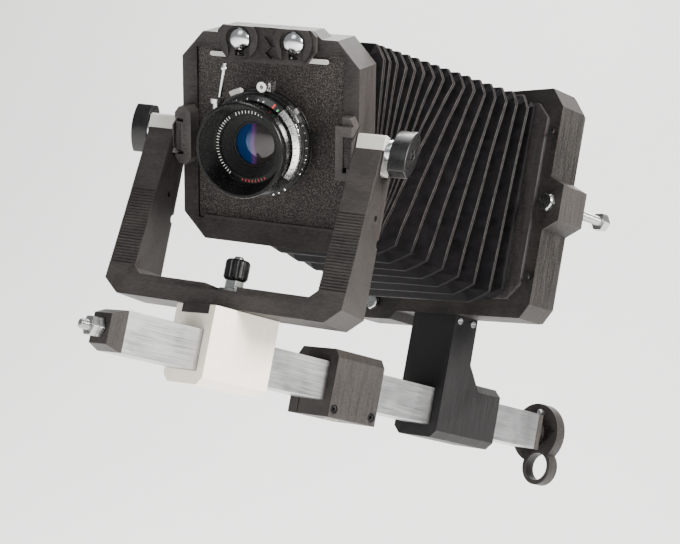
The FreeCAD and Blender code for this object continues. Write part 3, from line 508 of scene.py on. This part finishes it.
def crease(obj, degrees=34):
    """Keep sharp edges sharp on a smooth piece."""
    mesh = obj.data
    edge_faces = {}
    for face in mesh.polygons:
        for key in face.edge_keys:
            edge_faces.setdefault(key, []).append(face.normal.copy())
    limit = math.cos(math.radians(degrees))
    for edge in mesh.edges:
        normals = edge_faces.get(edge.key, [])
        edge.use_edge_sharp = len(normals) == 2 and normals[0].dot(normals[1]) < limit
    return obj


def turned(name, profile, place, look, body, segments=128, centre=(0, LENS_AXIS), ripple=None):
    """Closed profile of (radius, depth) turned about a depth axis; ripple changes the radius at an angle."""
    points = []
    count = len(profile)
    for step in range(segments):
        angle = 2 * math.pi * step / segments
        for index, (radius, depth) in enumerate(profile):
            wide = ripple(angle, radius, depth) if ripple else radius
            points.append((centre[0] + wide * math.cos(angle), depth, centre[1] + wide * math.sin(angle)))
    faces = []
    for step in range(segments):
        here = step * count
        there = (step + 1) % segments * count
        for index in range(count):
            after = (index + 1) % count
            faces.append((here + index, here + after, there + after, there + index))
    return crease(piece(name, points, faces, place, look, body))


STEPS_PER_TURN = 8
THREAD_TAPER = 0.8


def thread(name, place, centre, start, end, radius, pitch, look, body, slot, depth=0.5, segments=28):
    """Threaded rod along the depth axis, with a real helix and tapered ends."""
    steps = int((end - start) / pitch * STEPS_PER_TURN)
    points = []
    for row in range(steps + 1):
        along = start + (end - start) * row / steps
        taper = min(1.0, (along - start) / THREAD_TAPER, (end - along) / THREAD_TAPER)
        for step in range(segments):
            turn = step / segments
            phase = (along / pitch - turn) % 1.0
            crest = 1 - abs(2 * phase - 1)
            wide = radius - depth * (1 - crest) - 0.5 * (1 - taper)
            angle = 2 * math.pi * turn
            points.append((centre[0] + wide * math.cos(angle), along, centre[1] + wide * math.sin(angle)))
    faces = []
    for row in range(steps):
        for step in range(segments):
            after = (step + 1) % segments
            here, there = row * segments, (row + 1) * segments
            faces.append((here + step, here + after, there + after, there + step))
    faces.append(tuple(range(segments))[::-1])
    faces.append(tuple(steps * segments + step for step in range(segments)))
    return piece(name, points, faces, place, look, body)


def nut(name, place, centre, start, end, flats, look, body, slot, bore=0.0, crown=0.8, turn=0.0):
    """Hexagon with a chamfer at both ends."""
    corner = flats / math.sqrt(3)
    face = flats / 2 * 0.93
    inner = bore or AXIS_RADIUS
    segments = 72
    profile = [(inner, start), (face, start), (corner, start + crown)]
    profile += [(corner, end - crown), (face, end), (inner, end)]

    def six_sides(angle, radius, depth):
        around = (angle + turn) % (math.pi / 3) - math.pi / 6
        return min(radius, flats / 2 / math.cos(around))

    obj = turned(name, profile, place, look, body, segments, centre, six_sides)
    return crease(obj, 20)


# ---------------------------------------------------------------- bellows

FOLDS = 16
FRONT_DEPTH = 29.25
REAR_DEPTH = 93.95
FRONT_OUTLINE = (57.5, -63.5, 64.5)
REAR_OUTLINE = (66.5, 72.0, 213.5)
BOTTOM_SAG = 4.6
RIDGE_WIDTH = 0.0056
# Folds before which the skin is cut into stretches.
JOINT_FOLDS = (8, 10, 12, 14)
# Share of the bellows' length at which each fold meets the bottom corner, the top corner and the top face.
# The front folds lie stacked at the bottom because the lens looks down.
STACKED = 8
FOLD_FEET = [0.010 + 0.008 * k if k < STACKED else 0.084 + 0.1134 * (k - STACKED) for k in range(FOLDS)]
FOLD_HEADS = [0.072 + 0.862 * (k / (FOLDS - 1)) ** 1.2 for k in range(FOLDS)]
FOLD_CROWNS = [head + 0.004 for head in FOLD_HEADS]
# Corners of the outline: x measured in from the side, z up from the bottom or down from the top.
RIDGE_FOOT = ((16, 0), (8, 3.6), (0, 8))
RIDGE_HEAD = ((0, 10), (2.6, 5), (6, 0))
VALLEY_FOOT = ((21.0, 10.5), (13.5, 7.0), (10.5, 14.0))
VALLEY_HEAD = ((10.5, 12), (5.4, 7.8), (11.5, 10.5))
FACE_STEPS = 7
SIDE_STEPS = 10
# Rings over one fold's ridge: place in ridge widths, depth towards the valley, and the strength of the
# painted ridge highlight.
RIDGE_RINGS = (
    (-1.35, 0.045, 0.1), (-1.0, 0.0, 1.0), (-0.6, 0.012, 0.15),
    (0.6, 0.012, 0.15), (1.0, 0.0, 1.0), (1.35, 0.045, 0.1),
)
RINGS_PER_FOLD = 1 + len(RIDGE_RINGS)
# The painted ridge highlights are weaker along the bottom.
BOTTOM_HIGHLIGHT = 0.55


def blend_pairs(first, second, share):
    """Corner points between those of a ridge and those of a valley."""
    return [tuple(u + (v - u) * share for u, v in zip(p, q)) for p, q in zip(first, second)]


def outline(half, low, high, depth):
    """Ring of (x, z, place) round the bellows; depth 0 is a ridge and 1 a valley.

    place runs from 0 on the bottom to 1 at the top of a side and 2 on the top face."""
    foot = blend_pairs(RIDGE_FOOT, VALLEY_FOOT, depth)
    head = blend_pairs(RIDGE_HEAD, VALLEY_HEAD, depth)
    right = []
    for step in range(FACE_STEPS):
        share = (step + 0.5) / (FACE_STEPS + 0.5)
        right.append(((half - foot[0][0]) * share, low + foot[0][1], 0.0))
    right += [(half - foot[0][0], low + foot[0][1], 0.0), (half - foot[1][0], low + foot[1][1], 0.0)]
    start = (half - foot[2][0], low + foot[2][1])
    end = (half - head[0][0], high - head[0][1])
    for step in range(SIDE_STEPS + 1):
        share = step / SIDE_STEPS
        right.append((start[0] + (end[0] - start[0]) * share, start[1] + (end[1] - start[1]) * share, share))
    right += [(half - head[1][0], high - head[1][1], 1.5), (half - head[2][0], high - head[2][1], 2.0)]
    for step in range(FACE_STEPS - 1, -1, -1):
        share = (step + 0.5) / (FACE_STEPS + 0.5)
        right.append(((half - head[2][0]) * share, high - head[2][1], 2.0))
    left = [(-x, z, place) for x, z, place in reversed(right)]
    return right + left


def skin_ring(shares, depth, lift=0.0):
    """Ring of the skin: shares gives (foot, head, crown) of the bellows' length.

    lift is 0 for the rings at either end and 1 for the folds between them, which sag and wander."""
    front = outline(*FRONT_OUTLINE, depth)
    rear = [corner[:2] for corner in outline(*REAR_OUTLINE, depth)]
    ring = []
    for (x0, z0, place), (x1, z1) in zip(front, rear):
        if place <= 1:
            share = shares[0] + (shares[1] - shares[0]) * place
        else:
            share = shares[1] + (shares[2] - shares[1]) * (place - 1)
        wander = 0.0016 * math.sin(place * 5 + share * 43) + 0.0008 * math.sin(x1 * 0.11 + share * 71)
        share += wander * min(1.0, share / 0.15, (1 - share) / 0.08) * lift
        share = min(max(share, 0.0), 1.0)
        sag = BOTTOM_SAG * min(1.0, share / 0.18) * max(0.0, 1 - place) * lift
        ahead = LENS @ (Vector((x0, FRONT_DEPTH, z0)) * MM)
        behind = RAIL @ (Vector((x1, REAR_DEPTH, z1)) * MM)
        point = ahead.lerp(behind, share)
        ring.append(point - Vector((0, 0, sag * MM)))
    return ring


def bellows_rings():
    """All rings of the skin from front to rear, each with the strength of its painted ridge highlight."""
    ridges = list(zip(FOLD_FEET, FOLD_HEADS, FOLD_CROWNS))
    valleys = [(0.004, 0.035, 0.036)]
    for here, after in zip(ridges, ridges[1:]):
        valleys.append(tuple((u + v) / 2 for u, v in zip(here, after)))
    valleys.append((0.935, 0.962, 0.982))
    rings = [(skin_ring((0, 0, 0), 0.68), 0.0), (skin_ring((0.002, 0.012, 0.012), 0.68), 0.0)]
    for number, ridge in enumerate(ridges):
        before, after = valleys[number], valleys[number + 1]
        rings.append((skin_ring(before, 1.0, 1.0), 0.0))
        wide = [min(RIDGE_WIDTH, 0.16 * (v - u)) for u, v in zip(before, after)]
        for offset, depth, mark in RIDGE_RINGS:
            shares = tuple(r + w * offset for r, w in zip(ridge, wide))
            rings.append((skin_ring(shares, depth, 1.0), mark))
    rings.append((skin_ring(valleys[-1], 1.0, 1.0), 0.0))
    rings.append((skin_ring((0.975, 0.985, 0.99), 0.25), 0.3))
    rings.append((skin_ring((1, 1, 1), 0.25), 0.0))
    return rings


def ring_normal(ring, ahead):
    """Normal of a closed ring, turned to point along ahead."""
    total = Vector()
    for here, after in zip(ring, ring[1:] + ring[:1]):
        total += here.cross(after)
    total.normalize()
    return total if total.dot(ahead) > 0 else -total


def build_bellows():
    """Pleated skin in five separate stretches, cut at the folds listed in JOINT_FOLDS.

    The first stretch's start lies 0.2 mm past its end, so its bend runs the wrong way round: a known
    fault, which shows near the lower limit of the tilt."""
    rings = bellows_rings()
    chain = ["lens_standard", "risers", "yoke", "front_base", "rail_group", "rear_standard"]
    cuts = [0] + [2 + RINGS_PER_FOLD * fold for fold in JOINT_FOLDS] + [len(rings) - 1]
    for step in range(len(chain) - 1):
        stretch = rings[cuts[step]:cuts[step + 1] + 1]
        count = len(stretch[0][0])
        faces = []
        for row in range(len(stretch) - 1):
            for index in range(count):
                after = (index + 1) % count
                here, there = row * count, (row + 1) * count
                faces.append((here + index, there + index, there + after, here + after))
        mesh = bpy.data.meshes.new("bellows_stretch")
        mesh.from_pydata([point for ring, mark in stretch for point in ring], [], faces)
        # Each vertex carries its ring's painted ridge highlight strength.
        marks = mesh.attributes.new("ridge_highlight", "FLOAT", "POINT")
        shown = [BOTTOM_HIGHLIGHT if place == 0 else 1.0 for x, z, place in outline(*REAR_OUTLINE, 0)]
        marks.data.foreach_set("value", [mark * part for ring, mark in stretch for part in shown])
        mesh.materials.append(looks["bellows"])
        obj = bpy.data.objects.new("bellows_stretch_%d" % (step + 1), mesh)
        bpy.context.scene.collection.objects.link(obj)
        first, last = stretch[0][0], stretch[-1][0]
        start = sum(first, Vector()) / count
        ahead = sum(last, Vector()) / count - start
        direction = (ring_normal(first, ahead) + ring_normal(last, ahead)).normalized()
        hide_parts("bellows")
        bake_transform(obj)


build_bellows()

# ---------------------------------------------------------------- threads and bolt heads

# A quarter-inch screw with 20 turns to the inch, in millimetres.
BOLT_RADIUS = 3.17
BOLT_PITCH = 1.27
STUD_PLACES = ((87.4, 141.7), (-87.4, 141.7), (-63.3, 69.7))
STUD_THREAD = (96.9, 155.0)
STUD_HEAD = (92.5, 96.78)
HEAD_FLATS = 11.1
SCREW_TIP = -182.0
SCREW_SHOULDER = -146.6
SCREW_END = 223.6
SCREW_RADIUS = 4

for number, spot in enumerate(STUD_PLACES, 1):
    bolt = thread("back_stud_thread_%d" % number, RAIL, spot, *STUD_THREAD, BOLT_RADIUS, BOLT_PITCH,
                  "steel", "rear_standard", "steel")
    head = nut("back_stud_head_%d" % number, RAIL, spot, *STUD_HEAD, HEAD_FLATS,
               "steel", "rear_standard", "steel", 0, 1.0, 0.2 * number)
    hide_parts("back_studs")
    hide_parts("back_studs")
tip = thread("lead_screw_tip", RAIL, (0, 0), SCREW_TIP, SCREW_SHOULDER, BOLT_RADIUS, BOLT_PITCH,
             "steel", "crank", "steel")
core = turned("lead_screw_core", [
    (AXIS_RADIUS, SCREW_SHOULDER), (SCREW_RADIUS, SCREW_SHOULDER), (SCREW_RADIUS, SCREW_END),
    (AXIS_RADIUS, SCREW_END),
], RAIL, "steel", "crank", 32, (0, 0))
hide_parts("lead_screw")
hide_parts("lead_screw")

# ---------------------------------------------------------------- lens

barrel_profile = [
    (27.5, -42.3), (27.9, -42.5), (29.1, -42.5), (29.4, -42.3), (30.0, -41.2), (30.0, -36.3), (29.7, -35.8),
    (29.2, -35.5), (28.2, -35.4), (28.0, -35.1), (28.0, -28.4), (27.6, -28.0), (24.8, -27.8), (24.5, -27.5),
    (24.5, -24.6), (24.3, -24.4), (20.9, -24.4), (20.9, -14.2), (14.05, -14.2), (14.05, -18.5), (13.3, -19.2),
    (13.2, -19.6), (13.5, -19.95), (14.3, -20.1), (14.6, -20.4),
]
BAFFLE_STEPS = 9
for index in range(BAFFLE_STEPS):
    radius = 14.7 + 0.54 * index
    depth = -20.6 - 0.82 * index
    barrel_profile += [(radius, depth), (radius + 0.5, depth - 0.12), (radius + 0.5, depth - 0.7)]
barrel_profile += [(19.8, -28.3), (23.2, -28.3), (23.6, -28.7)]
HOOD_STEPS = 14
for index in range(HOOD_STEPS):
    radius = 23.6 + 0.27 * index
    depth = -28.9 - 0.95 * index
    barrel_profile += [(radius, depth), (radius + 0.3, depth - 0.15), (radius + 0.3, depth - 0.75)]
barrel = turned("front_barrel_turned", barrel_profile, LENS, "black_gloss",
                "lens_standard", 160)
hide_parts("front_barrel")


KNURL_TEETH = 110
KNURL_CUT = 0.4
KNURL_RADIUS = 31.5
KNURL_FRONT = -21.9
KNURL_REAR = -19.5


def knurl(angle, radius, depth):
    """Fine teeth on the rear edge of the ring."""
    if radius < KNURL_RADIUS or not KNURL_FRONT < depth < KNURL_REAR:
        return radius
    return radius - (KNURL_CUT if math.sin(angle * KNURL_TEETH) < 0 else 0.0)


ring = turned("speed_ring_turned", [
    (24.7, -24.3), (28.3, -24.9), (28.5, -24.9), (31.3, -22.7), (31.6, -22.4), (31.6, -22.0), (31.7, -21.8),
    (31.7, -19.6), (31.5, -19.3), (24.7, -19.3),
], LENS, "ring_painted_reflection", "speed_dial", 440, (0, LENS_AXIS), knurl)
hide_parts("speed_ring")


def ring_marks(name, look, body, inner, outer, depth, angles, width=0.45, tall=0.05, slope=0.0):
    """Flat radial marks on a face square to the lens axis, or on a cone of the given slope."""
    points = []
    faces = []
    for degrees in angles:
        angle = math.radians(degrees)
        across = Vector((-math.sin(angle), math.cos(angle))) * width / 2
        out = Vector((math.cos(angle), math.sin(angle)))
        start = len(points)
        for level in (depth, depth - tall):
            for reach, side in ((inner, -1), (outer, -1), (outer, 1), (inner, 1)):
                spot = out * reach + across * side
                points.append((spot.x, level + slope * (reach - inner), spot.y + LENS_AXIS))
        faces += [tuple(start + 4 + k for k in range(4)), tuple(start + k for k in (3, 2, 1, 0))]
        for k in range(4):
            after = (k + 1) % 4
            faces.append((start + k, start + after, start + 4 + after, start + 4 + k))
    return piece(name, points, faces, LENS, look, body, False)


# Depth gained per millimetre outward on the ring's cone.
CONE_SLOPE = 0.786
ring_marks("speed_ring_marks", "white_mark", "speed_dial", 28.8, 29.8, -24.7,
           (74, 81, 96, 111, 126), 0.5, 0.1, CONE_SLOPE)
ring_marks("speed_ring_black_marks", "baffle", "speed_dial", 28.8, 30.2, -24.7,
           range(-34, 48, 9), 0.45, 0.1, CONE_SLOPE)
ring_marks("speed_ring_red_mark", "red_mark", "speed_dial", 28.7, 31.0, -24.78,
           (60,), 1.1, 0.1, CONE_SLOPE)
ring_marks("speed_ring_green_mark", "green_mark", "speed_dial", 28.7, 30.0, -24.78,
           (53,), 1.1, 0.1, CONE_SLOPE)
ring_marks("barrel_face_marks", "white_mark", "lens_standard", 20.9, 22.6, -28.3,
           [a for a in range(128, 236, 5) if a % 25] + list(range(66, 118, 6)), 0.5, 0.12)
ring_marks("barrel_face_red_marks", "red_mark", "lens_standard", 20.9, 22.4, -28.3,
           range(258, 306, 6), 0.7, 0.12)
ring_marks("shutter_index_marks", "white_mark", "lens_standard", 33.05, 34.1, -16.0,
           range(-24, 36, 8), 0.35, 0.04)


def small_screws(name, place, spots, depth, radius, look, body):
    """Small crowned screw heads set square to the depth axis."""
    profile = [
        (0.05, depth), (radius, depth), (radius, depth - 0.25), (radius * 0.75, depth - 0.45),
        (0.05, depth - 0.5),
    ]
    for number, spot in enumerate(spots, 1):
        turned("%s_%d" % (name, number), profile, place, look, body, 24, spot)


SHUTTER_SCREW_RADIUS = 33.6
SHUTTER_SCREW_ANGLES = (-12.6, -30, -56, -64, -71)
shutter_spots = []
for degrees in SHUTTER_SCREW_ANGLES:
    angle = math.radians(degrees)
    across = SHUTTER_SCREW_RADIUS * math.cos(angle)
    shutter_spots.append((across, LENS_AXIS + SHUTTER_SCREW_RADIUS * math.sin(angle)))
small_screws("shutter_face_screw", LENS, shutter_spots, -16.02, 0.6, "chrome", "lens_standard")

# ---------------------------------------------------------------- studio

SWEEP_RADIUS = 1.0
SWEEP_STEPS = 12
# The photograph's viewpoint: its place, and the directions of the picture's right and down.
CAMERA_PLACE = (0.83037, -0.72656, -0.04391)
CAMERA_RIGHT = (0.65704, 0.73161, 0.18177)
CAMERA_DOWN = (0.02494, 0.2199, -0.9752)


def studio():
    """Pale sweep, soft lights and the camera."""
    width, floor, back = 4.0, -0.27, 2.4
    across = Vector((0.7608, 0.6490, 0)).normalized()
    away = Vector((-across.y, across.x, 0))
    bend = back - SWEEP_RADIUS
    profile = [(-3.0, 0.0), (bend, 0.0)]
    for step in range(1, SWEEP_STEPS + 1):
        angle = math.pi / 2 * step / SWEEP_STEPS
        profile.append((bend + SWEEP_RADIUS * math.sin(angle), SWEEP_RADIUS * (1.0 - math.cos(angle))))
    profile.append((back, 4.0))
    points = []
    for along, up in profile:
        for side in (-width, width):
            spot = across * side + away * along
            points.append((spot.x, spot.y, floor + up))
    faces = [(2 * k, 2 * k + 1, 2 * k + 3, 2 * k + 2) for k in range(len(profile) - 1)]
    mesh = bpy.data.meshes.new("backdrop")
    mesh.from_pydata(points, [], faces)
    backdrop = bpy.data.objects.new("backdrop", mesh)
    bpy.context.scene.collection.objects.link(backdrop)
    paper = Look("backdrop_paper")
    fibre = paper.noise(4, 3)
    paper.colour(paper.mix(paper.ramp(fibre, 0.3, 0.7), (0.93, 0.93, 0.93), (0.95, 0.95, 0.945)))
    paper.rough(0.9)
    mesh.materials.append(paper.material)
    for face in mesh.polygons:
        face.use_smooth = True

    world = bpy.data.worlds.new("studio_world")
    bpy.context.scene.world = world
    world.use_nodes = True
    sky = world.node_tree.nodes["Background"].inputs
    sky["Color"].default_value = (0.96, 0.97, 1.0, 1)
    sky["Strength"].default_value = 0.36

    target = Vector((0, -0.02, 0.12))
    for name, spot, size, power, tint in (
        ("key", (1.5, 0.28, 0.8), 0.7, 84, (1.0, 0.97, 0.93)),
        ("fill", (0.7, -1.8, 1.2), 1.0, 9, (0.95, 0.97, 1.0)),
        ("top", (-0.3, -0.1, 1.9), 1.0, 12, (1.0, 1.0, 1.0)),
        ("sweep", (-0.9, 0.9, 2.3), 1.6, 160, (1.0, 0.99, 0.97)),
    ):
        lamp = bpy.data.lights.new(name, "AREA")
        lamp.size = size
        lamp.energy = power
        lamp.color = tint
        light = bpy.data.objects.new(name, lamp)
        bpy.context.scene.collection.objects.link(light)
        light.location = spot
        light.rotation_euler = (target - Vector(spot)).to_track_quat("-Z", "Y").to_euler()

    lens = bpy.data.cameras.new("photo_view")
    lens.lens = 89.12
    lens.sensor_width = 36.0
    lens.sensor_fit = "HORIZONTAL"
    lens.clip_start = 0.01
    camera = bpy.data.objects.new("photo_view", lens)
    bpy.context.scene.collection.objects.link(camera)
    right = Vector(CAMERA_RIGHT)
    down = Vector(CAMERA_DOWN)
    ahead = right.cross(down).normalized()
    turn = Matrix((right, -down, -ahead)).transposed().to_4x4()
    camera.matrix_world = Matrix.Translation(CAMERA_PLACE) @ turn
    bpy.context.scene.camera = camera


studio()
